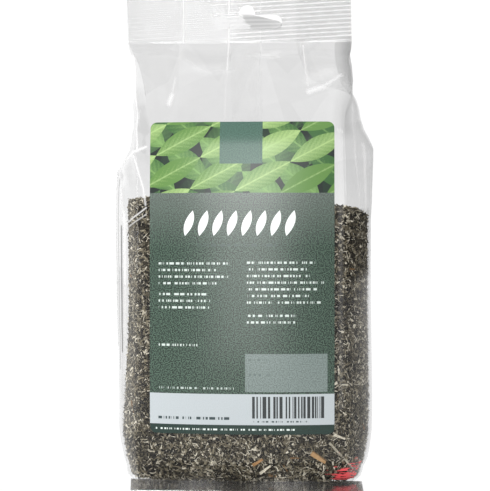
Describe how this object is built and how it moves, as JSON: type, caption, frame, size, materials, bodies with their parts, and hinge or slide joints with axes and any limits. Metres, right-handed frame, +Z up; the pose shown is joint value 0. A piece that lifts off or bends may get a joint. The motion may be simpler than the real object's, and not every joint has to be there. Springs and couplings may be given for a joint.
{
  "type": "clear film bag of dried sage",
  "caption": "Clear side-gusseted film bag of dried, cut sage, with a ribbed top seal, a hang hole and a paper label on its front.",
  "frame": {"origin": "on the surface the bag stands on, under the middle of its overall length and width", "axes": "+Z up to the top seal, -Y out of the labelled front, +X to the right as the label is read"},
  "size_m": [0.1174, 0.0654, 0.2227],
  "materials": {
    "film": "clear, glossy film",
    "sage": "dry, matt, cut leaf and stalk",
    "label": "printed, satin paper"
  },
  "bodies": {
    "root": {"bag_film": "film", "dried_sage": "sage", "front_label": "label"}
  },
  "joints": []
}
